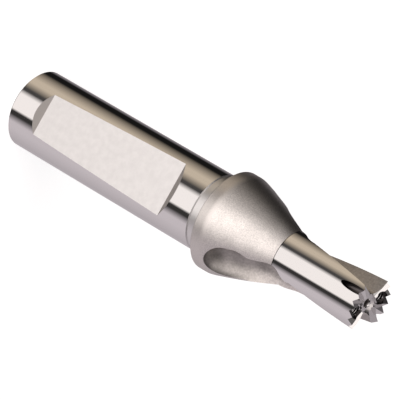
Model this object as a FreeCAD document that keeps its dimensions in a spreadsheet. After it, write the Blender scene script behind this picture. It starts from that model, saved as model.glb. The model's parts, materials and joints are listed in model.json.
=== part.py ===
import FreeCAD, Part
import math
import os
import Sketcher
from FreeCAD import Placement, Rotation, Vector

# Replaceable head drill body, in millimetres and degrees.
# +Z runs along the drill axis from the rear face of the shank to the serrated seat.
# The origin is the centre of the rear face, and the clamping flat faces -Y.
# Angles about the axis are measured from +X towards +Y.

SIZES = [
    # shank, flange, cone and nose, turned from one bar
    ("shank_radius", 8.0),
    ("shank_length", 47.0),
    ("shank_chamfer", 0.3),
    ("relief_depth", 0.2),
    ("relief_length", 2.95),
    ("flange_radius", 10.12),
    ("flange_chamfer", 0.22),
    ("flange_width", 2.35),
    ("flange_blend", 4.5),
    ("cone_length", 13.46),
    ("cone_bow", 126.7),
    ("nose_radius", 5.49),
    ("nose_length", 19.64),
    # inclined clamping flat, between its distances from the two ends of the shank
    ("flat_back", 6.9),
    ("flat_front", 7.2),
    ("flat_depth", 1.26),
    ("flat_slope", 1.6),
    ("flat_wall", 45.0),
    # coolant supply from the rear face, ending ahead of the flange's back and behind the nose
    ("supply_radius", 2.6),
    ("supply_ahead", 2.05),
    ("supply_point", 59.0),
    ("supply_countersink", 0.6),
    ("feed_radius", 1.25),
    ("feed_behind", 2.26),
    # two helical flutes, deep along the nose and lifting out through the cone; each section's
    # place is measured from the front end of the cone
    ("flute_twist", 1.95),
    ("flute_angle", 25.4),
    ("flute_offset", 0.35),
    ("flute_floor", 1.8),
    ("flute_root", 1.6),
    ("flute_flare", 46.8),
    ("flute_place", 4.54),
    ("neck_place", 2.14),
    ("neck_floor", 1.9),
    ("neck_root", 1.7),
    ("neck_flare", 45.3),
    ("neck_lag", 2.8),
    ("throat_place", -0.11),
    ("throat_floor", 2.1),
    ("throat_root", 1.8),
    ("throat_flare", 46.5),
    ("throat_lag", 10.3),
    ("bend_place", -2.16),
    ("bend_floor", 2.7),
    ("bend_root", 2.5),
    ("bend_flare", 43.5),
    ("bend_lag", 6.6),
    ("ramp_place", -4.36),
    ("ramp_floor", 3.4),
    ("ramp_root", 3.4),
    ("ramp_flare", 35.0),
    ("ramp_lag", 3.4),
    ("pocket_place", -8.36),
    ("pocket_floor", 4.9),
    ("pocket_root", 4.2),
    ("pocket_flare", 4.0),
    ("pocket_lag", 1.6),
    ("end_margin", 0.05),
    # radial serrations that carry the cutting head
    ("tooth_count", 18),
    ("tooth_flank", 45.0),
    ("tooth_angle", -92.3),
    ("hub_radius", 1.9),
    ("hub_depth", 0.15),
    ("pilot_radius", 0.7),
    ("pilot_depth", 3.0),
    ("pilot_countersink", 0.3),
    # two screw holes, M2.5
    ("screw_circle", 3.4),
    ("screw_angle", -52.8),
    ("screw_core", 1.025),
    ("screw_mouth", 1.45),
    ("screw_depth", 6.5),
    ("screw_point", 59.0),
    # two coolant outlets, drilled at a slant from the nose just below the seat
    ("outlet_angle", -104.7),
    ("outlet_radius", 0.74),
    ("outlet_drop", 1.8),
    ("outlet_tilt", 13.0),
    # margin by which a cutting profile passes the outside of the part
    ("overrun", 3.0),
]

doc = FreeCAD.newDocument("drill_body")
sheet = doc.addObject("Spreadsheet::Sheet", "sizes")
for row, (alias, number) in enumerate(SIZES, start=1):
    sheet.set("A%d" % row, alias)
    sheet.set("B%d" % row, str(number))
    sheet.setAlias("B%d" % row, alias)
doc.recompute()

# Formulas that several features share, all in sheet cells.
RELIEF_RADIUS = "(sizes.shank_radius - sizes.relief_depth)"
FLANGE_BACK = "(sizes.shank_length + sizes.relief_length)"
RIM_EDGE = "(%s + sizes.flange_width)" % FLANGE_BACK
NOSE_START = "(%s + sizes.cone_length)" % RIM_EDGE
SEAT_HEIGHT = "(%s + sizes.nose_length)" % NOSE_START
FLAT_LENGTH = "(sizes.shank_length - sizes.flat_back - sizes.flat_front)"
SUPPLY_DEPTH = "(%s + sizes.supply_ahead)" % FLANGE_BACK
FEED_DEPTH = "(%s - sizes.feed_behind)" % NOSE_START
END_RADIUS = "(sizes.pocket_root + sizes.end_margin)"
TOOTH_DEPTH = "(sizes.nose_radius * tan(180 / sizes.tooth_count) / tan(sizes.tooth_flank))"
ROOT_HEIGHT = "(%s - %s)" % (SEAT_HEIGHT, TOOTH_DEPTH)
REACH = "(sizes.flange_radius + sizes.overrun)"

# stations of the flute's loft along the nose
NOSE_STEPS = 4

body = doc.addObject("PartDesign::Body", "drill_body")
body.Label = "drill_body"


def number(formula):
    """Value of a formula in sheet cells, in millimetres or degrees."""
    result = sheet.evalExpression(formula)
    return float(getattr(result, "Value", result))


def origin_plane(role):
    """One of the body's own origin planes."""
    return next(item for item in body.Origin.OriginFeatures if item.Role == role)


def sketch_on(name, role, turn=None, shift=None):
    """Sketch on an origin plane, turned about the drill axis and shifted along its own normal.

    On XY_Plane the axis is the sketch's normal, on XZ_Plane it is the sketch's y direction.
    """
    sketch = body.newObject("Sketcher::SketchObject", name)
    sketch.AttachmentSupport = [(origin_plane(role), "")]
    sketch.MapMode = "FlatFace"
    axis = Vector(0, 0, 1) if role == "XY_Plane" else Vector(0, 1, 0)
    angle = number(turn) if turn else 0
    sketch.AttachmentOffset = Placement(Vector(0, 0, 0), Rotation(axis, angle))
    if turn:
        sketch.setExpression("AttachmentOffset.Rotation.Angle", turn)
    if shift and role == "XY_Plane":
        sketch.setExpression("AttachmentOffset.Base.z", shift)
    elif shift:
        sketch.setExpression("AttachmentOffset.Base.x", "%s * sin(%s)" % (shift, turn))
        sketch.setExpression("AttachmentOffset.Base.z", "%s * cos(%s)" % (shift, turn))
    return sketch


def bind(sketch, kind, *places, formula):
    """Dimension of a sketch bound to a formula."""
    size = number(formula)
    if kind == "Angle":
        size = math.radians(size)
    index = sketch.addConstraint(Sketcher.Constraint(kind, *places, size))
    sketch.setExpression("Constraints[%d]" % index, formula)
    return index


def locate(sketch, line, end, x, y):
    """Ties a point of a sketch to its two coordinates, each a formula or None for zero."""
    for kind, axis, formula in (("DistanceX", -2, x), ("DistanceY", -1, y)):
        if formula is None:
            sketch.addConstraint(Sketcher.Constraint("PointOnObject", line, end, axis))
        elif number(formula) < 0:
            bind(sketch, kind, line, end, -1, 1, formula="-(%s)" % formula)
        else:
            bind(sketch, kind, -1, 1, line, end, formula=formula)


def polygon(sketch, corners, bows={}):
    """Closed outline of straight lines through corners given as pairs of formulas.

    The corners run anticlockwise. bows gives the radius of each line that bows outwards.
    """
    points = [Vector(*[number(c) if c else 0 for c in corner], 0) for corner in corners]
    first = sketch.GeometryCount
    count = len(points)
    for i in range(count):
        start, end = points[i], points[(i + 1) % count]
        line = Part.LineSegment(start, end)
        if i in bows:
            along, radius = end - start, number(bows[i])
            rise = radius - math.sqrt(radius ** 2 - along.Length ** 2 / 4)
            outwards = Vector(along.y, -along.x, 0).normalize()
            line = Part.Arc(start, (start + end) / 2 + outwards * rise, end)
        sketch.addGeometry(line, False)
    for i in range(count):
        after = first + (i + 1) % count
        sketch.addConstraint(Sketcher.Constraint("Coincident", first + i, 2, after, 1))
    for i, (x, y) in enumerate(corners):
        locate(sketch, first + i, 1, x, y)
    for i, radius in bows.items():
        bind(sketch, "Radius", first + i, formula=radius)


def circle(sketch, x, y, radius):
    """Circle with its centre at two formulas."""
    centre = Vector(number(x) if x else 0, number(y) if y else 0, 0)
    line = sketch.addGeometry(Part.Circle(centre, Vector(0, 0, 1), number(radius)), False)
    locate(sketch, line, 3, x, y)
    bind(sketch, "Radius", line, formula=radius)


def turning_axis(sketch, line):
    """Construction line over a side of the outline, as the axis that the outline turns about."""
    side = sketch.Geometry[line]
    axis = sketch.addGeometry(Part.LineSegment(side.StartPoint, side.EndPoint), True)
    for end in (1, 2):
        sketch.addConstraint(Sketcher.Constraint("Coincident", axis, end, line, end))
    return (sketch, ["Axis0"])


def feature(kind, name, sketch, **settings):
    """PartDesign feature made from a sketch, with plain or bound settings."""
    item = body.newObject("PartDesign::" + kind, name)
    item.Profile = sketch
    for key, setting in settings.items():
        if isinstance(setting, str) and hasattr(item, key) and setting.startswith("="):
            item.setExpression(key, setting[1:])
        else:
            setattr(item, key, setting)
    sketch.Visibility = False
    return item


def turned_blank():
    """Shank, relief neck, flange, slightly bowed cone and nose in one revolved profile."""
    sketch = sketch_on("turned_profile", "XZ_Plane")
    polygon(sketch, [
        (None, None),
        ("sizes.shank_radius - sizes.shank_chamfer", None),
        ("sizes.shank_radius", "sizes.shank_chamfer"),
        ("sizes.shank_radius", "sizes.shank_length"),
        (RELIEF_RADIUS, "sizes.shank_length + sizes.relief_depth"),
        (RELIEF_RADIUS, FLANGE_BACK),
        ("sizes.flange_radius - sizes.flange_chamfer", FLANGE_BACK),
        ("sizes.flange_radius", "%s + sizes.flange_chamfer" % FLANGE_BACK),
        ("sizes.flange_radius", RIM_EDGE),
        ("sizes.nose_radius", NOSE_START),
        ("sizes.nose_radius", SEAT_HEIGHT),
        (None, SEAT_HEIGHT),
    ], bows={8: "sizes.cone_bow"})
    blank = feature("Revolution", "turned_blank", sketch, ReferenceAxis=(sketch, ["V_Axis"]), Angle=360)
    doc.recompute()
    rim = next(
        "Edge%d" % (i + 1)
        for i, edge in enumerate(blank.Shape.Edges)
        if isinstance(edge.Curve, Part.Circle)
        and abs(edge.Curve.Center.z - number(RIM_EDGE)) < 1e-4
        and abs(edge.Curve.Radius - number("sizes.flange_radius")) < 1e-4
    )
    blend = body.newObject("PartDesign::Fillet", "flange_blend")
    blend.Base = (blank, [rim])
    blend.setExpression("Radius", "sizes.flange_blend")
    return blend


def clamping_flat():
    """Long flat, deeper towards the flange, with a sloping wall at each end."""
    sketch = sketch_on("flat_profile", "YZ_Plane")
    drop = "%s * tan(sizes.flat_slope)" % FLAT_LENGTH
    front = "sizes.flat_back + %s" % FLAT_LENGTH
    rise = "(sizes.flat_depth + sizes.overrun)"
    fall = "(sizes.flat_depth + %s + sizes.overrun)" % drop
    outside = "-(sizes.shank_radius + sizes.overrun)"
    polygon(sketch, [
        ("-(sizes.shank_radius - sizes.flat_depth)", "sizes.flat_back"),
        ("-(sizes.shank_radius - sizes.flat_depth - %s)" % drop, front),
        (outside, "%s + %s * tan(sizes.flat_wall + sizes.flat_slope)" % (front, fall)),
        (outside, "sizes.flat_back - %s * tan(sizes.flat_wall - sizes.flat_slope)" % rise),
    ])
    return feature("Pocket", "clamping_flat", sketch, Type="ThroughAll", Midplane=True)


def supply_bore():
    """Coolant bore from the rear face, stepped down to the bore that feeds the outlets."""
    sketch = sketch_on("supply_profile", "XZ_Plane")
    wide = "(sizes.supply_radius + sizes.supply_countersink)"
    polygon(sketch, [
        (None, None),
        (wide, None),
        ("sizes.supply_radius", "sizes.supply_countersink"),
        ("sizes.supply_radius", SUPPLY_DEPTH),
        ("sizes.feed_radius",
         "%s + (sizes.supply_radius - sizes.feed_radius) / tan(sizes.supply_point)" % SUPPLY_DEPTH),
        ("sizes.feed_radius", FEED_DEPTH),
        (None, "%s + sizes.feed_radius / tan(sizes.supply_point)" % FEED_DEPTH),
    ])
    return feature("Groove", "supply_bore", sketch, ReferenceAxis=(sketch, ["V_Axis"]), Angle=360)


def flute_outline(sketch, floor, root, flare, offset):
    """Open side of a flute: two straight walls that run tangent into a round root.

    The sketch's x direction points out of the flute. floor is the distance from the drill
    axis to the root, flare the angle of each wall to x, and offset moves the root sideways.
    """
    centre_x = number("%s + %s" % (floor, root))
    centre_y = -number(offset)
    radius = number(root)
    angle = number(flare)
    reach = number(REACH)
    half_pi = Rotation(Vector(0, 0, 1), 90 + angle)
    upper = Vector(centre_x, centre_y, 0) + half_pi.multVec(Vector(radius, 0, 0))
    lower = Vector(upper.x, 2 * centre_y - upper.y, 0)
    along = Rotation(Vector(0, 0, 1), angle).multVec(Vector(1, 0, 0))
    length = (reach - upper.x) / along.x
    upper_end = upper + along * length
    lower_end = Vector(upper_end.x, 2 * centre_y - upper_end.y, 0)
    middle = Vector(centre_x - radius, centre_y, 0)
    wall_up = sketch.addGeometry(Part.LineSegment(upper_end, upper), False)
    bottom = sketch.addGeometry(Part.Arc(upper, middle, lower), False)
    wall_down = sketch.addGeometry(Part.LineSegment(lower, lower_end), False)
    mouth = sketch.addGeometry(Part.LineSegment(lower_end, upper_end), False)
    add = sketch.addConstraint
    add(Sketcher.Constraint("Tangent", wall_up, 2, bottom, 1))
    add(Sketcher.Constraint("Tangent", wall_down, 1, bottom, 2))
    add(Sketcher.Constraint("Coincident", wall_down, 2, mouth, 1))
    add(Sketcher.Constraint("Coincident", mouth, 2, wall_up, 1))
    add(Sketcher.Constraint("Vertical", mouth))
    locate(sketch, bottom, 3, "%s + %s" % (floor, root), "-(%s)" % offset)
    bind(sketch, "Radius", bottom, formula=root)
    bind(sketch, "DistanceX", -1, 1, mouth, 1, formula=REACH)
    bind(sketch, "Angle", wall_down, 1, wall_up, 2, formula="2 * %s" % flare)
    add(Sketcher.Constraint("Equal", wall_up, wall_down))


def flute_turn(height, lag="0"):
    """Direction of the flute's middle at a height: the right-hand helix of the nose."""
    return "sizes.flute_angle - sizes.flute_twist * (%s - (%s)) - %s" % (SEAT_HEIGHT, height, lag)


def flute():
    """One flute: a loft along the helix that lifts out of the nose into the cone."""
    stations = ["pocket", "ramp", "bend", "throat", "neck"]
    sections = []
    for word in stations:
        height = "%s + sizes.%s_place" % (NOSE_START, word)
        sketch = sketch_on("%s_section" % word, "XY_Plane",
                           turn=flute_turn(height, "sizes.%s_lag" % word), shift=height)
        flute_outline(sketch, *["sizes.%s_%s" % (word, part) for part in ("floor", "root", "flare")],
                      "sizes.flute_offset")
        sections.append(sketch)
    for step in range(NOSE_STEPS + 1):
        start = "(%s + sizes.flute_place)" % NOSE_START
        height = "%s + %d * (%s + 1 - %s) / %d" % (start, step, SEAT_HEIGHT, start, NOSE_STEPS)
        sketch = sketch_on("flute_section_%d" % step, "XY_Plane", turn=flute_turn(height), shift=height)
        flute_outline(sketch, "sizes.flute_floor", "sizes.flute_root", "sizes.flute_flare",
                      "sizes.flute_offset")
        sections.append(sketch)
    doc.recompute()
    # one loft up the nose and one down through the cone, both from the same section
    join = len(stations)
    upward = body.newObject("PartDesign::SubtractiveLoft", "flute")
    upward.Profile = sections[join]
    upward.Sections = sections[join + 1:]
    downward = body.newObject("PartDesign::SubtractiveLoft", "flute_run_out")
    downward.Profile = sections[join]
    downward.Sections = sections[join - 1::-1]
    for sketch in sections:
        sketch.Visibility = False
    return upward, downward


def flute_end():
    """Round end of the flute's run-out: half of its last section, turned about its middle.

    Its radius is a little over the section's, so that this end closes over the loft's.
    """
    height = "%s + sizes.pocket_place" % NOSE_START
    sketch = sketch_on("pocket_profile", "XY_Plane", turn=flute_turn(height, "sizes.pocket_lag"), shift=height)
    root, side, reach = number(END_RADIUS), -number("sizes.flute_offset"), number(REACH)
    angle = number("sizes.pocket_flare")
    middle = Vector(number("sizes.pocket_floor + sizes.pocket_root"), side, 0)
    bottom = middle - Vector(root, 0, 0)
    corner = middle + Rotation(Vector(0, 0, 1), 90 + angle).multVec(Vector(root, 0, 0))
    halfway = middle + Rotation(Vector(0, 0, 1), 135).multVec(Vector(root, 0, 0))
    along = Rotation(Vector(0, 0, 1), angle).multVec(Vector(1, 0, 0))
    lip = corner + along * ((reach - corner.x) / along.x)
    foot = Vector(reach, side, 0)
    arc = sketch.addGeometry(Part.Arc(corner, halfway, bottom), False)
    wall = sketch.addGeometry(Part.LineSegment(corner, lip), False)
    mouth = sketch.addGeometry(Part.LineSegment(lip, foot), False)
    axis = sketch.addGeometry(Part.LineSegment(foot, bottom), False)
    add = sketch.addConstraint
    add(Sketcher.Constraint("Coincident", axis, 2, arc, 2))
    add(Sketcher.Constraint("Tangent", wall, 1, arc, 1))
    add(Sketcher.Constraint("Coincident", wall, 2, mouth, 1))
    add(Sketcher.Constraint("Coincident", mouth, 2, axis, 1))
    add(Sketcher.Constraint("Vertical", mouth))
    add(Sketcher.Constraint("Horizontal", axis))
    locate(sketch, arc, 3, "sizes.pocket_floor + sizes.pocket_root", "-sizes.flute_offset")
    add(Sketcher.Constraint("PointOnObject", arc, 3, axis))
    bind(sketch, "Radius", arc, formula=END_RADIUS)
    bind(sketch, "DistanceX", -1, 1, mouth, 1, formula=REACH)
    bind(sketch, "Angle", wall, formula="sizes.pocket_flare")
    return feature("Groove", "flute_end", sketch, ReferenceAxis=turning_axis(sketch, axis), Angle=360)


def serration():
    """One V groove from the drill axis outwards, its root level with the seat."""
    sketch = sketch_on("groove_profile", "XZ_Plane", turn="sizes.tooth_angle + 180 / sizes.tooth_count + 90")
    height = "(%s + 1)" % TOOTH_DEPTH
    polygon(sketch, [
        (None, ROOT_HEIGHT),
        ("%s * tan(sizes.tooth_flank)" % height, "%s + 1" % SEAT_HEIGHT),
        ("-%s * tan(sizes.tooth_flank)" % height, "%s + 1" % SEAT_HEIGHT),
    ])
    return feature("Pocket", "serration", sketch, Length="=" + REACH, Reversed=True)


def hub():
    """Round recess inside the serrations, with the pilot hole and its countersink."""
    sketch = sketch_on("hub_profile", "XZ_Plane")
    floor = "(%s - sizes.hub_depth)" % ROOT_HEIGHT
    bottom = "(%s - sizes.pilot_depth)" % floor
    polygon(sketch, [
        (None, "%s - sizes.pilot_radius / tan(sizes.screw_point)" % bottom),
        ("sizes.pilot_radius", bottom),
        ("sizes.pilot_radius", "%s - sizes.pilot_countersink" % floor),
        ("sizes.pilot_radius + sizes.pilot_countersink", floor),
        ("sizes.hub_radius", floor),
        ("sizes.hub_radius", "%s + 1" % SEAT_HEIGHT),
        (None, "%s + 1" % SEAT_HEIGHT),
    ])
    return feature("Groove", "hub", sketch, ReferenceAxis=(sketch, ["V_Axis"]), Angle=360)


def screw_mouth():
    """Round recess that clears the serrations around a screw hole."""
    sketch = sketch_on("mouth_profile", "XY_Plane", turn="sizes.screw_angle", shift="%s + 1" % SEAT_HEIGHT)
    circle(sketch, "sizes.screw_circle", None, "sizes.screw_mouth")
    return feature("Pocket", "screw_mouth", sketch, Length="=%s + 1" % TOOTH_DEPTH)


def screw_hole():
    """Tapping hole for a head screw, along the drill axis."""
    sketch = sketch_on("screw_profile", "XY_Plane", turn="sizes.screw_angle", shift=ROOT_HEIGHT)
    circle(sketch, "sizes.screw_circle", None, "sizes.screw_core")
    doc.recompute()
    return feature("Hole", "screw_hole", sketch, DepthType="Dimension", DrillPoint="Angled",
                   Diameter="=2 * sizes.screw_core", Depth="=sizes.screw_depth",
                   DrillPointAngle="=2 * sizes.screw_point")


def outlet_hole():
    """Slanting coolant hole from the side of the nose down into the central feed bore."""
    sketch = sketch_on("outlet_profile", "XZ_Plane", turn="sizes.outlet_angle")
    # the hole's middle passes through the nose surface at this height
    cross_z = "(%s - sizes.outlet_drop)" % SEAT_HEIGHT
    low = "(%s - 2)" % FEED_DEPTH
    run = "((%s - %s) * tan(sizes.outlet_tilt))" % (cross_z, low)
    wide = "(sizes.outlet_radius / cos(sizes.outlet_tilt))"
    top = "(%s + 2)" % SEAT_HEIGHT
    rise = "((sizes.outlet_drop + 2) * tan(sizes.outlet_tilt))"
    polygon(sketch, [
        ("sizes.nose_radius - %s - %s" % (run, wide), low),
        ("sizes.nose_radius - %s" % run, low),
        ("sizes.nose_radius + %s" % rise, top),
        ("sizes.nose_radius + %s - %s" % (rise, wide), top),
    ])
    return feature("Groove", "outlet_hole", sketch, ReferenceAxis=turning_axis(sketch, 1), Angle=360)


def pattern(name, originals, count):
    """Copies of features evenly about the drill axis."""
    item = body.newObject("PartDesign::PolarPattern", name)
    item.Originals = originals
    item.Axis = (origin_plane("Z_Axis"), [""])
    item.Angle = 360
    item.setExpression("Occurrences", count)
    body.Tip = item
    return item


turned_blank()
clamping_flat()
supply_bore()
pattern("flutes", [*flute(), flute_end()], "2")
pattern("serrations", [serration()], "sizes.tooth_count")
hub()
pattern("seat_fittings", [screw_mouth(), screw_hole(), outlet_hole()], "2")
doc.recompute()

for item in doc.Objects:
    if "Invalid" in item.State or "Error" in item.State:
        raise RuntimeError("%s: %s" % (item.Name, item.State))
    if item.isDerivedFrom("Sketcher::SketchObject") and not item.FullyConstrained:
        raise RuntimeError("%s is not fully constrained" % item.Name)
if body.Shape.isNull() or not body.Shape.isValid() or len(body.Shape.Solids) != 1:
    raise RuntimeError("drill_body is not one valid solid")

os.makedirs("parts", exist_ok=True)
body.Shape.exportStep("parts/%s.step" % body.Label)
print("drill_body %.1f mm3" % body.Shape.Volume)
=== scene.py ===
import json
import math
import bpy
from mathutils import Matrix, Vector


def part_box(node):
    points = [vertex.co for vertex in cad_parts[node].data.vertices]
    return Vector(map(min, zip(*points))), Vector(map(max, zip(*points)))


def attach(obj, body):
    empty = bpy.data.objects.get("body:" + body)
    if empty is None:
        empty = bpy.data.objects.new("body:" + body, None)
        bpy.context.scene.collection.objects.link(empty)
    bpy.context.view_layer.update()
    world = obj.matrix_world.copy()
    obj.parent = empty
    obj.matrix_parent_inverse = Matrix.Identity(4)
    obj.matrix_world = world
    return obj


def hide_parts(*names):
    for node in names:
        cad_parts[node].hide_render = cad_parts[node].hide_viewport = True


bl_info = {
    "name": "Replaceable head drill body",
    "version": (1, 0, 0),
    "blender": (4, 5, 0),
    "location": "View3D > Sidebar > Drill body",
    "description": "Finishes a one-piece drill body and sets it in a soft studio",
    "category": "Object",
}

import bmesh
import bpy
import numpy as np
from bpy.props import FloatProperty, FloatVectorProperty, IntProperty, PointerProperty
from mathutils import Matrix

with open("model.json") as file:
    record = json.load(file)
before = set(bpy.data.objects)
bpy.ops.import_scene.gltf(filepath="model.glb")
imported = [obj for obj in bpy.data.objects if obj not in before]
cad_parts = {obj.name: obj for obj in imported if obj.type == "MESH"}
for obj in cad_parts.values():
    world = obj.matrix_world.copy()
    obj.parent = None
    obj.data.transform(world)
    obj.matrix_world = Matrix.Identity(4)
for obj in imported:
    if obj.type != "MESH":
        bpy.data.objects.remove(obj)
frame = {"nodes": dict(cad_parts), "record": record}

MM = 0.001
NODE = "drill_body"
MOUNTS = {mount["name"]: mount for mount in frame["record"]["mounts"]}
SCREWS = MOUNTS["head_screws"]
SCREW_CIRCLE = SCREWS["dims"]["pcd_mm"] / 2
SCREW_BEARING = math.radians(-52.8)
ROOT_HEIGHT = SCREWS["pos_m"][2] / MM
SEAT_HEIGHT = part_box(NODE)[1][2] / MM

# turned outline, in millimetres from the rear end up
SHANK_RADIUS = MOUNTS["shank"]["dims"]["r_mm"]
SHANK_CHAMFER = 0.3
SHANK_LENGTH = 47.0
RELIEF_RADIUS = 7.8
RELIEF_START = SHANK_LENGTH + SHANK_RADIUS - RELIEF_RADIUS
FLANGE_BACK = 49.95
FLANGE_CHAMFER = 0.22
FLANGE_RADIUS = 10.12
RIM_HEIGHT = 52.3
BLEND_RADIUS = 4.5
CONE_BOW = 126.7
NOSE_START = 65.76
NOSE_RADIUS = 5.49
SUPPLY_RADIUS = 2.6

# straight lines of the outline: finish, then radius and height of each end
OUTLINE = [
    ("ground", SHANK_RADIUS - SHANK_CHAMFER, 0.0, SHANK_RADIUS, SHANK_CHAMFER),
    ("ground", SHANK_RADIUS, SHANK_CHAMFER, SHANK_RADIUS, SHANK_LENGTH),
    ("turned", SHANK_RADIUS, SHANK_LENGTH, RELIEF_RADIUS, RELIEF_START),
    ("turned", RELIEF_RADIUS, RELIEF_START, RELIEF_RADIUS, FLANGE_BACK),
    ("rim", FLANGE_RADIUS - FLANGE_CHAMFER, FLANGE_BACK, FLANGE_RADIUS, FLANGE_BACK + FLANGE_CHAMFER),
    ("rim", FLANGE_RADIUS, FLANGE_BACK + FLANGE_CHAMFER, FLANGE_RADIUS, RIM_HEIGHT),
    ("ground", NOSE_RADIUS, NOSE_START, NOSE_RADIUS, SEAT_HEIGHT),
]

# flutes along the nose: their section in millimetres, the height where the helix starts, the
# twist per millimetre and the bearing at the seat
FLUTE_FLOOR = 1.8
FLUTE_ROOT = 1.6
FLUTE_FLARE = math.radians(46.8)
FLUTE_OFFSET = 0.35
FLUTE_HELIX_START = 70.3
FLUTE_TWIST = math.radians(1.95)
FLUTE_ANGLE = math.radians(25.4)

# drilled walls: bearing, distance from the axis and height of a point on the drill's line, its
# tilt, and radius. All but the pilot hole have a twin opposite.
OUTLET = (math.radians(-104.7), NOSE_RADIUS, SEAT_HEIGHT - 1.785, math.radians(13), 0.74)
SCREW_MOUTH = (SCREW_BEARING, SCREW_CIRCLE, ROOT_HEIGHT, 0.0, 1.45)
PILOT = (0.0, 0.0, ROOT_HEIGHT, 0.0, 0.7)

# where the other finishes lie: heights and radii in millimetres
REAR_END = 0.7
FLAT_BETWEEN = (5, 43)
FLAT_CLEAR_OF = SUPPLY_RADIUS + 0.5
FLUTES_ABOVE = 52
FLUTES_OUTSIDE = 1.5
SEAT_ABOVE = ROOT_HEIGHT - 0.3

# least part of the normal along the axis, on the end walls of the clamping flat
WALL_LEAN = 0.3
# least cosine between a facet and the true surface that it stands for
SAME_WAY = 0.97
# how many times further than the turned walls the swept walls of the flutes may lie off
FLUTE_SLACK = 4

# painted shadow where the nose's grinding ends, as a dark line: height and half width in millimetres, and
# brightness
SHADE_LINE_HEIGHT = NOSE_START + 0.05
SHADE_LINE_HALF_WIDTH = 0.12
SHADE_LINE_LEVEL = 0.3

# brightness painted on the flutes' steel as light and shade, each as places and the levels there: by
# height, by depth below the cone, by radius near the root, and by how far the wall faces forwards. The
# painted shade of the rim and of the root counts only at some heights.
PAINTED_LIGHT_ALONG = (54, 58, 60, 62, 64, 66, 68.5, 71, 74), (1.1, 1.0, 1.3, 1.8, 2.3, 2.6, 2.4, 1.5, 1.0)
PAINTED_SHADE_RIM = (0.2, 1.2), (0.7, 0.0)
PAINTED_SHADE_RIM_AT = (57, 61), (1.0, 0.0)
PAINTED_SHADE_ROOT = (4.2, 5.0), (0.55, 0.0)
PAINTED_SHADE_ROOT_AT = (59, 62, 69, 72), (0.0, 1.0, 1.0, 0.0)
PAINTED_LIGHT_FORWARDS = (0.02, 0.3, 0.7, 0.98), (1.0, 0.75, 1.0, 1.5)
PAINTED_LIGHT_LIMIT = 1.75


class BodyFinish(bpy.types.PropertyGroup):
    """Finishes of the one-piece body."""

    steel: FloatVectorProperty(
        name="Steel", description="Colour of the bare hardened steel", subtype="COLOR",
        size=3, min=0, max=1, default=(0.80, 0.78, 0.77))
    blasted: FloatVectorProperty(
        name="Blasted steel", description="Colour of the bead-blasted cone", subtype="COLOR",
        size=3, min=0, max=1, default=(0.75, 0.71, 0.68))
    fluted: FloatVectorProperty(
        name="Fluted steel", description="Colour of the flute walls", subtype="COLOR",
        size=3, min=0, max=1, default=(0.54, 0.505, 0.48))
    # painted shade: the holes' dark colour stands for the shade inside them
    shaded_bore: FloatVectorProperty(
        name="Steel of the bores, with painted shade", description="Colour inside the drilled holes", subtype="COLOR",
        size=3, min=0, max=1, default=(0.20, 0.18, 0.18))
    crease: FloatProperty(
        name="Crease", description="Edges sharper than this stay sharp", subtype="ANGLE",
        default=math.radians(24))
    run_out: FloatProperty(
        name="Run-out", description="How far the shading of the flutes' run-outs is blended, in mm",
        default=1.3, min=0.1)
    tolerance: FloatProperty(
        name="Tolerance", description="How far a facet's corner may lie off the turned outline, in mm",
        default=0.012, min=0.0)


class ScrewThread(bpy.types.PropertyGroup):
    """Threads of the two head screw holes."""

    core: FloatProperty(name="Core radius", description="Radius of the thread's crests, in mm",
                        default=SCREWS["dims"]["hole_r_mm"])
    major: FloatProperty(name="Major radius", description="Radius of the thread's roots, in mm",
                         default=1.25)
    pitch: FloatProperty(name="Pitch", description="Height of one turn, in mm", default=0.45)
    depth: FloatProperty(name="Depth", description="Depth of the plain tapping hole, in mm", default=6.5)
    lead: FloatProperty(name="Lead", description="Length over which the thread deepens, in mm", default=0.12)
    run_out: FloatProperty(name="Run-out", description="Length over which the tap left it shallow, in mm",
                           default=1.2)
    circle: FloatProperty(name="Circle", description="Radius of the circle of the holes, in mm",
                          default=SCREW_CIRCLE)
    bearing: FloatProperty(name="Bearing", description="Direction of the first hole from +X",
                           subtype="ANGLE", default=SCREW_BEARING)
    steps: IntProperty(name="Steps", description="Points round one turn", default=48, min=12)
    rows: IntProperty(name="Rows", description="Rows of points in one pitch", default=12, min=4)


class Studio(bpy.types.PropertyGroup):
    """Floor, surroundings and camera."""

    floor: FloatVectorProperty(
        name="Floor", description="Colour of the plain floor", subtype="COLOR", size=3, min=0, max=1,
        default=(0.9, 0.9, 0.9))
    glow: FloatProperty(name="Glow", description="Light that the floor gives off", default=0.72, min=0)
    reach: FloatProperty(name="Reach", description="Radius of the floor", subtype="DISTANCE", default=1.5)
    bearing: FloatProperty(name="Bearing", description="Direction from the part to the camera, from +X",
                           subtype="ANGLE", default=math.radians(-92.3))
    tilt: FloatProperty(name="Tilt", description="How far the camera looks down", subtype="ANGLE",
                        default=math.radians(31.6133))
    roll: FloatProperty(name="Roll", description="How far the camera is turned about its line of sight",
                        subtype="ANGLE", default=math.radians(120.4733))
    distance: FloatProperty(name="Distance", description="From the camera to the point that it aims at",
                            subtype="DISTANCE", default=0.589518)
    aim: FloatVectorProperty(name="Aim", description="Point that the camera looks at", subtype="XYZ", size=3,
                             default=(-0.000786, 0.000043, 0.042718))
    lens: FloatProperty(name="Lens", description="Focal length for a 36 mm sensor, in mm", default=283.25)


def radius_and_height(points):
    """Distance of each point from the drill axis, and its height, both in millimetres."""
    return np.hypot(points[..., 0], points[..., 1]) / MM, points[..., 2] / MM


def radial(points, outward, upward):
    """Unit vectors with the given parts away from the axis and along it, one for each point."""
    length = np.hypot(points[..., 0], points[..., 1])
    length = np.where(length > 1e-9, length, 1.0)
    return np.stack([points[..., 0] / length * outward, points[..., 1] / length * outward,
                     np.broadcast_to(upward, length.shape)], axis=-1)


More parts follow.
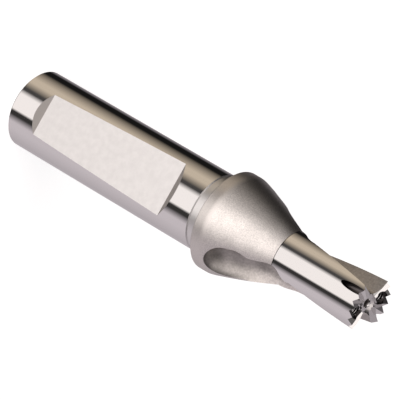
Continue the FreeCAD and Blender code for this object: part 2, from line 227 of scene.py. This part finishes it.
def facets(mesh):
    """Corner numbers, corner points, flat normal and area of each triangle, as arrays."""
    count = len(mesh.polygons)
    points = np.empty(len(mesh.vertices) * 3)
    mesh.vertices.foreach_get("co", points)
    corners = np.empty(count * 3, dtype=np.int32)
    mesh.loops.foreach_get("vertex_index", corners)
    points = points.reshape(-1, 3)[corners].reshape(count, 3, 3)
    cross = np.cross(points[:, 1] - points[:, 0], points[:, 2] - points[:, 0])
    double = np.linalg.norm(cross, axis=1)
    flat = cross / np.where(double > 0, double, 1)[:, None]
    return corners, points, flat, double / 2


def rounded(corners, flat, area, finish, crease):
    """Normal at each corner: the mean, by area, of the facets round that point.

    Only those of the same finish whose normals lie within the crease angle count.
    """
    facet = np.repeat(np.arange(len(flat)), 3)
    order = np.argsort(corners, kind="stable")
    count = np.bincount(corners)
    first = np.cumsum(count) - count
    sharing = count[corners]
    corner = np.repeat(np.arange(len(corners)), sharing)
    step = np.arange(len(corner)) - np.repeat(np.cumsum(sharing) - sharing, sharing)
    other = facet[order[first[corners[corner]] + step]]
    mine = facet[corner]
    close = np.einsum("ij,ij->i", flat[mine], flat[other]) > math.cos(crease)
    close &= finish[mine] == finish[other]
    total = np.zeros((len(corners), 3))
    np.add.at(total, corner[close], flat[other[close]] * area[other[close], None])
    length = np.linalg.norm(total, axis=1)
    found = length > 0
    total[found] /= length[found, None]
    total[~found] = flat[facet[~found]]
    return total.reshape(-1, 3, 3)


def blended(points, flat, area, reach):
    """Normals of a lofted hollow, blended as the round end of a cutter leaves it.

    The normal at a corner is the mean of the facets' flat normals, each weighted by its area, by
    a bell curve of its distance, and by how far it faces the same way as the corner's own facet.
    The square of a distance is the squares of both places less twice their product. The corners
    are taken in blocks, which keeps the arrays small.
    """
    block = 500
    corners, centres = points.reshape(-1, 3) / MM, points.mean(axis=1) / MM
    own = np.repeat(flat, 3, axis=0)
    normals = np.empty_like(corners)
    for start in range(0, len(corners), block):
        some = slice(start, start + block)
        squares = (corners[some] ** 2).sum(axis=1)[:, None] + (centres ** 2).sum(axis=1)
        bell = np.exp((2 * corners[some] @ centres.T - squares) / (2 * reach ** 2))
        normals[some] = (bell * area * np.clip(own[some] @ flat.T, 0, 1)) @ flat
    length = np.linalg.norm(normals, axis=1, keepdims=True)
    return np.where(length > 0, normals / np.where(length > 0, length, 1), own).reshape(-1, 3, 3)


def bows():
    """Rounded rim and bowed cone: finish, centre, radius of the bow, and heights of its ends.

    The cone's centre lies on the middle normal of the chord from the rim to the nose. The rim's
    blend touches the flange's cylinder and the cone, so its centre is its own radius inside both.
    """
    start, end = np.array([FLANGE_RADIUS, RIM_HEIGHT]), np.array([NOSE_RADIUS, NOSE_START])
    chord = end - start
    half = np.linalg.norm(chord) / 2
    inward = np.array([-chord[1], chord[0]]) / (2 * half)
    across, up = (start + end) / 2 + inward * math.sqrt(CONE_BOW ** 2 - half ** 2)
    out, apart = FLANGE_RADIUS - BLEND_RADIUS, CONE_BOW - BLEND_RADIUS
    low = up + math.sqrt(apart ** 2 - (out - across) ** 2)
    high = low + BLEND_RADIUS * (low - up) / apart
    return [("rim", out, low, BLEND_RADIUS, low, high), ("blasted", across, up, CONE_BOW, high, NOSE_START)]


def facing(flat, true):
    """Whether a facet faces the way of the true normals at all three of its corners.

    A large flat face can have its corners on a round one, so their places alone don't tell.
    """
    return (np.einsum("ij,ikj->ik", flat, true) > SAME_WAY).all(axis=1)


def on_outline(points, flat, tolerance):
    """Finish and true normals of the facets that lie on the turned outline.

    A facet is on a line or bow of the outline when its three corners are within the tolerance
    of it, measured in the plane of radius and height, and it faces the same way. The true
    normal of a turned surface is the outline's normal, turned about the axis to the corner.
    """
    radius, height = radius_and_height(points)
    finish = np.full(len(points), -1)
    normals = np.repeat(flat[:, None, :], 3, axis=1)

    def choose(name, near, true):
        chosen = near.all(axis=1) & facing(flat, true) & (finish < 0)
        finish[chosen] = FINISHES.index(name)
        normals[chosen] = true[chosen]

    for name, r0, z0, r1, z1 in OUTLINE:
        run, rise = r1 - r0, z1 - z0
        length = math.hypot(run, rise)
        outward, upward = rise / length, -run / length
        off = (radius - r0) * outward + (height - z0) * upward
        along = (radius - r0) * run / length + (height - z0) * rise / length
        near = (np.abs(off) < tolerance) & (along > -tolerance) & (along < length + tolerance)
        choose(name, near, radial(points, outward, upward))
    for name, across, up, bow, low, high in bows():
        distance = np.hypot(radius - across, height - up)
        near = (np.abs(distance - bow) < tolerance) & (height > low - tolerance) & (height < high + tolerance)
        choose(name, near, radial(points, (radius - across) / distance, (height - up) / distance))
    choose("shaded_bore", np.abs(radius - SUPPLY_RADIUS) < tolerance, radial(points, -1.0, 0.0))
    return finish, normals


def on_flute(points, flat, tolerance):
    """Facets on the helical walls of the flutes along the nose, and their true normals.

    A corner is turned back by the helix's angle at its height. There the section is a round
    root with two tangent walls, and its normal is that of whichever lies nearest. The third
    part of the normal follows from the helix: it is square to the way that the corner moves.
    """
    x, y, z = (points[..., i] / MM for i in range(3))
    turn = FLUTE_ANGLE - FLUTE_TWIST * (SEAT_HEIGHT - z)
    out = x * np.cos(turn) + y * np.sin(turn)
    side = y * np.cos(turn) - x * np.sin(turn)
    way = np.where(out.mean(axis=1) < 0, -1, 1)[:, None]
    right, up = out * way - (FLUTE_FLOOR + FLUTE_ROOT), side * way + FLUTE_OFFSET
    sine, cosine = math.sin(FLUTE_FLARE), math.cos(FLUTE_FLARE)
    on_wall = right * cosine + np.abs(up) * sine > 0
    distance = np.hypot(right, up)
    off = np.abs(np.where(on_wall, np.abs(up) * cosine - right * sine, distance) - FLUTE_ROOT)
    ahead = np.where(on_wall, sine, -right / distance) * way
    aside = np.where(on_wall, -np.sign(up) * cosine, -up / distance) * way
    normal_x = ahead * np.cos(turn) - aside * np.sin(turn)
    normal_y = ahead * np.sin(turn) + aside * np.cos(turn)
    normal_z = FLUTE_TWIST * (normal_x * y - normal_y * x)
    true = np.stack([normal_x, normal_y, normal_z], axis=-1)
    true /= np.linalg.norm(true, axis=-1, keepdims=True)
    near = (off < tolerance) & (z > FLUTE_HELIX_START)
    return near.all(axis=1) & facing(flat, true), true


def on_drilling(points, flat, drilling, tolerance):
    """Facets on the wall of a drilled hole or its twin, and their true normals.

    The drill's line starts at a bearing, distance and height and leans outwards by its tilt.
    A corner is on the wall when it lies one radius from that line, and the normal points
    straight back at the line.
    """
    bearing, far, height, tilt, radius = drilling
    chosen, normals = np.zeros(len(points), dtype=bool), np.zeros_like(points)
    for turn in (bearing, bearing + math.pi):
        start = np.array([far * math.cos(turn), far * math.sin(turn), height])
        along = np.array([math.sin(tilt) * math.cos(turn), math.sin(tilt) * math.sin(turn), math.cos(tilt)])
        apart = points / MM - start
        apart -= np.einsum("...i,i", apart, along)[..., None] * along
        distance = np.linalg.norm(apart, axis=-1)
        true = -apart / np.where(distance > 0, distance, 1)[..., None]
        here = (np.abs(distance - radius) < tolerance).all(axis=1) & facing(flat, true)
        chosen |= here
        normals[here] = true[here]
    return chosen, normals


def other_finishes(points, flat, finish):
    """Finish of every facet that has none yet: by its place, and by which way it faces."""
    radius, height = (value.mean(axis=1) for value in radius_and_height(points))
    rest = finish < 0
    slack = 0.01
    low, high = FLAT_BETWEEN
    recess = rest & (height > low) & (height < high) & (radius > FLAT_CLEAR_OF)
    leaning = np.abs(flat[:, 2]) > WALL_LEAN
    rules = [
        # what is left takes the holes' dark finish, with its painted shade
        ("shaded_bore", rest),
        ("fluted", rest & (height > FLUTES_ABOVE) & (radius > FLUTES_OUTSIDE)),
        ("seat", rest & (height > SEAT_ABOVE)),
        ("turned", rest & (np.abs(height - FLANGE_BACK) < slack)),
        ("ground", rest & (height < REAR_END)),
        ("milled", recess & ~leaning),
        ("wall", recess & leaning),
    ]
    for name, chosen in rules:
        finish[chosen] = FINISHES.index(name)
    return finish


def painted_flute_light(points, normals):
    """Painted light and shade: how bright the flutes' steel is at each corner.

    Painted shade darkens it along the run-out's rim and along its root, and painted highlights
    brighten it where the cutter lifts out of the nose. Four brightnesses are multiplied: by height,
    by depth below the cone, by radius, and by how far the wall faces forwards.
    """
    radius, height = radius_and_height(points)
    _, across, up, bow, *_ = bows()[-1]
    cone_radius = across + np.sqrt(bow ** 2 - (height - up) ** 2)
    depth = np.maximum(cone_radius, NOSE_RADIUS) - radius
    # painted light by height and by facing, painted shade along the rim and along the root
    along = np.interp(height, *PAINTED_LIGHT_ALONG)
    rim = 1 - np.interp(depth, *PAINTED_SHADE_RIM) * np.interp(height, *PAINTED_SHADE_RIM_AT)
    root = 1 - np.interp(radius, *PAINTED_SHADE_ROOT) * np.interp(height, *PAINTED_SHADE_ROOT_AT)
    ahead = np.interp(normals[..., 2], *PAINTED_LIGHT_FORWARDS)
    return np.minimum(along * rim * root * ahead, PAINTED_LIGHT_LIMIT)


def body_mesh(settings, thread):
    """The node's own mesh, merged, shaded by its true surfaces and sorted by finish."""
    mesh = frame["nodes"][NODE].data.copy()
    mesh.name = "body"
    shape = bmesh.new()
    shape.from_mesh(mesh)
    bmesh.ops.remove_doubles(shape, verts=shape.verts, dist=1e-7)
    open_holes(shape, thread)
    shape.to_mesh(mesh)
    shape.free()
    mesh.shade_smooth()
    mesh.set_sharp_from_angle(angle=settings.crease)
    corners, points, flat, area = facets(mesh)
    finish, normals = on_outline(points, flat, settings.tolerance)
    surfaces = [
        ("shaded_bore", on_drilling(points, flat, OUTLET, settings.tolerance)),
        ("mouth", on_drilling(points, flat, SCREW_MOUTH, settings.tolerance)),
        ("wall", on_drilling(points, flat, PILOT, settings.tolerance)),
        ("fluted", on_flute(points, flat, settings.tolerance * FLUTE_SLACK)),
    ]
    for name, (chosen, true) in surfaces:
        chosen = chosen & (finish < 0)
        finish[chosen] = FINISHES.index(name)
        normals[chosen] = true[chosen]
    rest = finish < 0
    finish = other_finishes(points, flat, finish)
    normals[rest] = rounded(corners, flat, area, finish, settings.crease)[rest]
    lofted = rest & (finish == FINISHES.index("fluted"))
    normals[lofted] = blended(points[lofted], flat[lofted], area[lofted], settings.run_out)
    mesh.materials.clear()
    for make in FINISH_MATERIALS.values():
        mesh.materials.append(make(settings))
    mesh.polygons.foreach_set("material_index", finish.astype(np.int32))
    mesh.normals_split_custom_set(normals.reshape(-1, 3).tolist())
    # painted light and shade on the flutes, stored at each corner
    shade = mesh.attributes.new("shade", "FLOAT", "CORNER")
    shade.data.foreach_set("value", painted_flute_light(points, normals).ravel())
    return mesh


def screw_places(thread):
    """Centre of each screw hole, in millimetres."""
    for turn in (thread.bearing, thread.bearing + math.pi):
        yield thread.circle * math.cos(turn), thread.circle * math.sin(turn)


def open_holes(shape, thread):
    """Takes out the plain walls of the screw holes, which the threads stand for."""
    slack, lean = 0.02, 0.05
    doomed = []
    for x, y in screw_places(thread):
        for face in shape.faces:
            centre = face.calc_center_median() / MM
            inside = math.hypot(centre.x - x, centre.y - y) < thread.core + slack
            within = ROOT_HEIGHT - thread.depth - slack < centre.z < ROOT_HEIGHT
            if inside and within and abs(face.normal.z) < lean:
                doomed.append(face)
    bmesh.ops.delete(shape, geom=doomed, context="FACES")


def thread_mesh(thread):
    """Two tapped walls on a grid of angle and height.

    The radius is the core radius plus a triangle wave of the height less the angle's share of
    one pitch. The wave is cut flat at its crests and roots, and it fades to nothing at both ends
    of the hole.
    """
    peak, slope = 1.15, 2.6
    angle, rise = np.meshgrid(
        np.linspace(0, 2 * math.pi, thread.steps, endpoint=False),
        np.linspace(0, thread.depth, int(thread.depth / thread.pitch * thread.rows) + 1))
    phase = np.mod(rise / thread.pitch - angle / (2 * math.pi), 1)
    wave = np.clip(peak - np.abs(phase - 0.5) * slope, 0, 1)
    fade = np.clip((thread.depth - rise) / thread.lead, 0, 1) * np.clip(rise / thread.run_out, 0, 1)
    radius = thread.core + (thread.major - thread.core) * wave * fade
    rows, columns = angle.shape
    start, step = np.arange(rows - 1)[:, None] * columns, np.arange(columns)
    first, after = start + step, start + (step + 1) % columns
    quads = np.stack([first, first + columns, after + columns, after], axis=-1).reshape(-1, 4)
    verts, faces = [], []
    for number, (x, y) in enumerate(screw_places(thread)):
        grid = np.stack([x + radius * np.cos(angle), y + radius * np.sin(angle),
                         ROOT_HEIGHT - thread.depth + rise], axis=-1)
        verts.append(grid.reshape(-1, 3) * MM)
        faces.append(quads + number * rows * columns)
    mesh = bpy.data.meshes.new("screw_threads")
    mesh.from_pydata(np.concatenate(verts).tolist(), [], np.concatenate(faces).tolist())
    mesh.shade_smooth()
    # how far each point lies from the thread's roots, for the painted shade in them
    crest = mesh.attributes.new("crest", "FLOAT", "POINT")
    crest.data.foreach_set("value", np.tile((1 - wave * fade).ravel(), 2))
    return mesh


def add_piece(name, mesh):
    """Puts a mesh into the scene as a piece that rides on the one body."""
    piece = bpy.data.objects.new(name, mesh)
    bpy.context.scene.collection.objects.link(piece)
    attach(piece, "root")
    return piece


def shader_inputs(material):
    """Inputs of a material's own shader."""
    return material.node_tree.nodes["Principled BSDF"].inputs


def steel(name, colour, roughness):
    """Bare steel of one colour, with the roughness of its finish."""
    material = bpy.data.materials.new(name)
    material.use_nodes = True
    inputs = shader_inputs(material)
    inputs["Base Color"].default_value = (*colour, 1)
    inputs["Metallic"].default_value = 1
    inputs["Roughness"].default_value = roughness
    return material


def noise(material, scale, detail, stretch=(1, 1, 1)):
    """Noise on Object coordinates, each first scaled by its stretch."""
    nodes, links = material.node_tree.nodes, material.node_tree.links
    place = nodes.new("ShaderNodeTexCoord")
    mapping = nodes.new("ShaderNodeMapping")
    mapping.inputs["Scale"].default_value = stretch
    texture = nodes.new("ShaderNodeTexNoise")
    texture.inputs["Scale"].default_value = scale
    texture.inputs["Detail"].default_value = detail
    links.new(place.outputs["Object"], mapping.inputs["Vector"])
    links.new(mapping.outputs["Vector"], texture.inputs["Vector"])
    return texture.outputs["Fac"]


def grain(material, scale, height, detail=3, stretch=(1, 1, 1)):
    """Fine relief of the surface, as high as the given height in metres."""
    nodes, links = material.node_tree.nodes, material.node_tree.links
    bump = nodes.new("ShaderNodeBump")
    bump.inputs["Strength"].default_value = 1
    bump.inputs["Distance"].default_value = height
    links.new(noise(material, scale, detail, stretch), bump.inputs["Height"])
    links.new(bump.outputs["Normal"], shader_inputs(material)["Normal"])


def clouds(material, scale, detail, low, high):
    """Uneven brightness between two values."""
    nodes, links = material.node_tree.nodes, material.node_tree.links
    veil = nodes.new("ShaderNodeMapRange")
    for name, value in {"From Min": 0.3, "From Max": 0.7, "To Min": low, "To Max": high}.items():
        veil.inputs[name].default_value = value
    links.new(noise(material, scale, detail), veil.inputs["Value"])
    return veil.outputs["Result"]


def tint(material, colour, *shares):
    """Gives the shader a colour times each of the brightnesses."""
    nodes, links = material.node_tree.nodes, material.node_tree.links
    for share in shares:
        scale = nodes.new("ShaderNodeVectorMath")
        scale.operation = "SCALE"
        if isinstance(colour, bpy.types.NodeSocket):
            links.new(colour, scale.inputs[0])
        else:
            scale.inputs[0].default_value = colour
        links.new(share, scale.inputs["Scale"])
        colour = scale.outputs["Vector"]
    links.new(colour, shader_inputs(material)["Base Color"])


def stored(material, name):
    """Value stored on the mesh under a name."""
    attribute = material.node_tree.nodes.new("ShaderNodeAttribute")
    attribute.attribute_name = name
    return attribute.outputs["Fac"]


def ground_steel(settings):
    """Fine ground steel of the shank and the nose, with a painted shadow: a dark line where the nose's
    grinding ends.
    """
    material = steel("ground_steel", settings.steel, 0.07)
    nodes, links = material.node_tree.nodes, material.node_tree.links
    place = nodes.new("ShaderNodeTexCoord")
    parts = nodes.new("ShaderNodeSeparateXYZ")
    # painted shadow: a thin ring at the end of the nose's grinding is darkened
    on_shade_line = nodes.new("ShaderNodeMath")
    on_shade_line.operation = "COMPARE"
    on_shade_line.inputs[1].default_value = SHADE_LINE_HEIGHT * MM
    on_shade_line.inputs[2].default_value = SHADE_LINE_HALF_WIDTH * MM
    mix = nodes.new("ShaderNodeMix")
    mix.data_type = "RGBA"
    mix.inputs["A"].default_value = (*settings.steel, 1)
    mix.inputs["B"].default_value = (*(part * SHADE_LINE_LEVEL for part in settings.steel), 1)
    links.new(place.outputs["Object"], parts.inputs["Vector"])
    links.new(parts.outputs["Z"], on_shade_line.inputs[0])
    links.new(on_shade_line.outputs["Value"], mix.inputs["Factor"])
    links.new(mix.outputs["Result"], shader_inputs(material)["Base Color"])
    return material


def milled_steel(settings):
    """Bright milled flat, faintly clouded."""
    material = steel("milled_steel", settings.steel, 0.32)
    tint(material, settings.steel, clouds(material, 900, 2, 0.91, 0.98))
    return material


def wall_steel(settings):
    """Duller steel of the clamping flat's end walls and the pilot hole."""
    return steel("wall_steel", settings.fluted, 0.42)


def turned_steel(settings):
    """Turned neck and shoulder, with rings too fine to tell apart."""
    material = steel("turned_steel", settings.steel, 0.38)
    grain(material, 2500, 0.000003, detail=2, stretch=(0.02, 0.02, 1))
    return material


def rim_steel(settings):
    """Smooth satin rim of the flange."""
    material = steel("rim_steel", settings.blasted, 0.4)
    grain(material, 5000, 0.00002)
    tint(material, settings.blasted, clouds(material, 5000, 1, 0.93, 1.04))
    return material


def blasted_steel(settings):
    """Satin bead-blasted cone."""
    material = steel("blasted_steel", settings.blasted, 0.36)
    grain(material, 5000, 0.00003)
    pits, patches = clouds(material, 5000, 1, 0.82, 1.1), clouds(material, 450, 3, 0.94, 1.05)
    tint(material, settings.blasted, pits, patches)
    return material


def fluted_steel(settings):
    """Satin flute walls, with painted light and shade: as bright at each corner as its stored shade."""
    material = steel("fluted_steel", settings.fluted, 0.4)
    grain(material, 4600, 0.00003)
    # painted light and shade from the stored values, under random clouds
    tint(material, settings.fluted, stored(material, "shade"), clouds(material, 2600, 4, 0.82, 1.12))
    return material


def seat_steel(settings):
    """Ground serrations and hub."""
    return steel("seat_steel", settings.steel, 0.16)


def shaded_bore_steel(settings):
    """Drilled holes, dark inside with painted shade."""
    return steel("shaded_bore_steel", settings.shaded_bore, 0.35)


def mouth_steel(settings):
    """Mouths of the screw holes, nearly black with painted shade."""
    return steel("mouth_steel", np.array(settings.shaded_bore) / 4, 0.3)


def thread_steel(settings):
    """Tapped holes: bright crests over roots made dark with painted shade."""
    material = steel("thread_steel", settings.steel, 0.3)
    nodes, links = material.node_tree.nodes, material.node_tree.links
    ramp = nodes.new("ShaderNodeValToRGB")
    root, crest = ramp.color_ramp.elements
    # painted shade: the thread's roots are near black
    root.position, root.color = 0.55, (0.01, 0.01, 0.01, 1)
    crest.position, crest.color = 0.95, (*settings.steel, 1)
    links.new(stored(material, "crest"), ramp.inputs["Fac"])
    links.new(ramp.outputs["Color"], shader_inputs(material)["Base Color"])
    return material


# in the order of the body's material slots
FINISH_MATERIALS = {
    "ground": ground_steel,
    "milled": milled_steel,
    "wall": wall_steel,
    "turned": turned_steel,
    "rim": rim_steel,
    "blasted": blasted_steel,
    "fluted": fluted_steel,
    "seat": seat_steel,
    "shaded_bore": shaded_bore_steel,
    "mouth": mouth_steel,
}
FINISHES = list(FINISH_MATERIALS)


class OBJECT_OT_drill_body(bpy.types.Operator):
    """Shades the drill body by its true surfaces and gives each its finish"""

    bl_idname = "object.drill_body"
    bl_label = "Body"

    def execute(self, context):
        scene = context.scene
        piece = add_piece("body", body_mesh(scene.body_finish, scene.screw_thread))
        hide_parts(NODE)
        return {"FINISHED"}


class OBJECT_OT_screw_threads(bpy.types.Operator):
    """Taps the two holes for the head screws"""

    bl_idname = "object.screw_threads"
    bl_label = "Screw threads"

    def execute(self, context):
        scene = context.scene
        piece = add_piece("screw_threads", thread_mesh(scene.screw_thread))
        piece.data.materials.append(thread_steel(scene.body_finish))
        return {"FINISHED"}


# tints of the studio's lights and cards
WARM = (1.0, 0.85, 0.67)
PLAIN = (1.0, 0.95, 0.93)
COOL = (1.0, 0.92, 0.97)

# Studio round the part, in five belts: far below for what faces the floor, below the horizon
# for the upright cylinders, level for the cone, and two overhead for the serrations and the
# flutes' ends. Each lists its cards and the dark gaps between them: the bearings of both sides
# from the camera's own, in degrees, the level, and the tint. Between two of them the light
# changes evenly.
FLOOR_BELT = [
    (-180, -150, 0.09, PLAIN),
    (-110, -50, 0.2, PLAIN),
    (-20, 110, 0.55, PLAIN),
    (145, 180, 0.09, PLAIN),
]
LOW_BELT = [
    (-180, -180, 0.9, COOL),
    (-165, -165, 0.4, COOL),
    (-136, -114, 0.01, PLAIN),
    (-74, -58, 0.65, WARM),
    (-35, -28, 0.07, PLAIN),
    (-15, 31, 1.1, PLAIN),
    (37, 48, 0.04, PLAIN),
    (68, 88, 0.65, COOL),
    (140, 164, 0.5, COOL),
    (180, 180, 0.9, COOL),
]
LEVEL_BELT = [
    (-180, -160, 0.35, COOL),
    (-134, -94, 0.01, PLAIN),
    (-60, -60, 0.38, PLAIN),
    (-36, -36, 0.7, PLAIN),
    (-14, 22, 1.85, PLAIN),
    (40, 40, 0.75, PLAIN),
    (54, 54, 0.46, COOL),
    (75, 130, 0.56, COOL),
    (180, 180, 0.35, COOL),
]
HIGH_BELT = [
    (-180, -165, 0.4, COOL),
    (-115, -95, 0.01, PLAIN),
    (-68, -68, 0.25, PLAIN),
    (-30, 5, 1.12, PLAIN),
    (45, 45, 0.6, COOL),
    (85, 180, 0.4, COOL),
]
TOP_BELT = [
    (-180, -180, 0.35, COOL),
    (-130, -74, 0.14, PLAIN),
    (-58, -30, 1.3, PLAIN),
    (-5, 12, 0.62, PLAIN),
    (75, 150, 0.04, PLAIN),
    (180, 180, 0.35, COOL),
]

# belts over the first one, with the heights of the direction between which each takes over
BELTS_ABOVE = [
    (LOW_BELT, -0.76, -0.62),
    (LEVEL_BELT, -0.45, -0.2),
    (HIGH_BELT, 0.12, 0.4),
    (TOP_BELT, 0.5, 0.66),
]

# a ramp's colours stop at 1, so the belts are divided by this and the background multiplied by it
BELT_GAIN = 2


def surroundings(studio):
    """World of soft upright cards in five belts, blended by the height of the direction."""
    world = bpy.data.worlds.new("studio")
    bpy.context.scene.world = world
    world.use_nodes = True
    nodes, links = world.node_tree.nodes, world.node_tree.links
    place = nodes.new("ShaderNodeTexCoord")
    parts = nodes.new("ShaderNodeSeparateXYZ")
    links.new(place.outputs["Generated"], parts.inputs["Vector"])

    def math_node(operation, *values):
        node = nodes.new("ShaderNodeMath")
        node.operation = operation
        for socket, value in zip(node.inputs, values):
            if isinstance(value, (int, float)):
                socket.default_value = value
            else:
                links.new(value, socket)
        return node.outputs["Value"]

    turn = math_node("ARCTAN2", parts.outputs["Y"], parts.outputs["X"])
    turns = math_node("MULTIPLY_ADD", turn, 1 / (2 * math.pi), 0.5 - studio.bearing / (2 * math.pi))
    bearing_share = math_node("FRACT", turns)

    def belt(cards):
        ramp = nodes.new("ShaderNodeValToRGB")
        links.new(bearing_share, ramp.inputs["Fac"])
        stops = ramp.color_ramp.elements
        stops.remove(stops[-1])
        sides = [(side, level, tint) for *both, level, tint in cards for side in sorted(set(both))]
        for number, (bearing, level, tint) in enumerate(sides):
            place_on_ramp = bearing / 360 + 0.5
            stop = stops.new(place_on_ramp) if number else stops[0]
            stop.position = place_on_ramp
            stop.color = (*(level / BELT_GAIN * part for part in tint), 1)
        return ramp.outputs["Color"]

    def blend(lower, upper, start, end):
        lift = nodes.new("ShaderNodeMapRange")
        lift.interpolation_type = "SMOOTHSTEP"
        lift.inputs["From Min"].default_value = start
        lift.inputs["From Max"].default_value = end
        links.new(parts.outputs["Z"], lift.inputs["Value"])
        mix = nodes.new("ShaderNodeMix")
        mix.data_type = "RGBA"
        links.new(lift.outputs["Result"], mix.inputs["Factor"])
        links.new(lower, mix.inputs["A"])
        links.new(upper, mix.inputs["B"])
        return mix.outputs["Result"]

    around = belt(FLOOR_BELT)
    for cards, start, end in BELTS_ABOVE:
        around = blend(around, belt(cards), start, end)
    links.new(around, nodes["Background"].inputs["Color"])
    nodes["Background"].inputs["Strength"].default_value = BELT_GAIN


def floor(studio):
    """Plain pale floor that the part stands on: a disc, as points of a circle round the axis."""
    steps = 96
    angle = np.linspace(0, 2 * math.pi, steps, endpoint=False)
    rim = np.stack([studio.reach * np.cos(angle), studio.reach * np.sin(angle), np.zeros(steps)], axis=-1)
    mesh = bpy.data.meshes.new("floor")
    mesh.from_pydata(rim.tolist(), [], [list(range(steps))])
    material = bpy.data.materials.new("floor_card")
    material.use_nodes = True
    inputs = shader_inputs(material)
    inputs["Base Color"].default_value = (*studio.floor, 1)
    inputs["Roughness"].default_value = 0.9
    inputs["Emission Color"].default_value = (1, 1, 1, 1)
    inputs["Emission Strength"].default_value = studio.glow
    mesh.materials.append(material)
    card = bpy.data.objects.new("floor", mesh)
    bpy.context.scene.collection.objects.link(card)
    card.visible_glossy = False


def camera(studio):
    """Camera at the photograph's viewing angle, rolled so that the part leans to the right.

    It stands back from the point that it aims at, by the distance along its line of sight.
    """
    turn, tilt, roll = studio.bearing, studio.tilt, studio.roll
    ahead = -np.array([math.cos(turn) * math.cos(tilt), math.sin(turn) * math.cos(tilt), math.sin(tilt)])
    level = np.array([-math.sin(turn), math.cos(turn), 0.0])
    right = level * math.cos(roll) + np.cross(level, ahead) * math.sin(roll)
    up = np.cross(right, ahead)
    data = bpy.data.cameras.new("camera")
    data.sensor_width = 36
    data.lens = studio.lens
    data.clip_start, data.clip_end = 0.01, 10
    item = bpy.data.objects.new("camera", data)
    bpy.context.scene.collection.objects.link(item)
    item.location = (np.array(studio.aim) - studio.distance * ahead).tolist()
    item.rotation_mode = "QUATERNION"
    item.rotation_quaternion = Matrix(np.column_stack([right, up, -ahead]).tolist()).to_quaternion()
    bpy.context.scene.camera = item


class OBJECT_OT_drill_stage(bpy.types.Operator):
    """Lays the floor, lights the studio and sets up the camera"""

    bl_idname = "object.drill_stage"
    bl_label = "Stage"

    def execute(self, context):
        studio = context.scene.studio
        floor(studio)
        surroundings(studio)
        camera(studio)
        context.scene.view_settings.view_transform = "Standard"
        return {"FINISHED"}


class VIEW3D_PT_drill_body(bpy.types.Panel):
    """Lists the pieces and the stage"""

    bl_idname = "VIEW3D_PT_drill_body"
    bl_label = "Drill body"
    bl_space_type = "VIEW_3D"
    bl_region_type = "UI"
    bl_category = "Drill body"

    def draw(self, context):
        for operator in OPERATORS:
            self.layout.operator(operator.bl_idname)
        for name in GROUPS:
            settings = getattr(context.scene, name)
            for key in settings.__annotations__:
                self.layout.prop(settings, key)


OPERATORS = [OBJECT_OT_drill_body, OBJECT_OT_screw_threads, OBJECT_OT_drill_stage]
GROUPS = {"body_finish": BodyFinish, "screw_thread": ScrewThread, "studio": Studio}


def register():
    for item in [*GROUPS.values(), *OPERATORS, VIEW3D_PT_drill_body]:
        bpy.utils.register_class(item)
    for name, group in GROUPS.items():
        setattr(bpy.types.Scene, name, PointerProperty(type=group))


def unregister():
    for name in GROUPS:
        delattr(bpy.types.Scene, name)
    for item in [VIEW3D_PT_drill_body, *OPERATORS[::-1], *GROUPS.values()]:
        bpy.utils.unregister_class(item)


def main():
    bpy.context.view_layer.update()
    register()
    bpy.ops.object.drill_body()
    bpy.ops.object.screw_threads()
    bpy.ops.object.drill_stage()


if __name__ == "__main__":
    main()
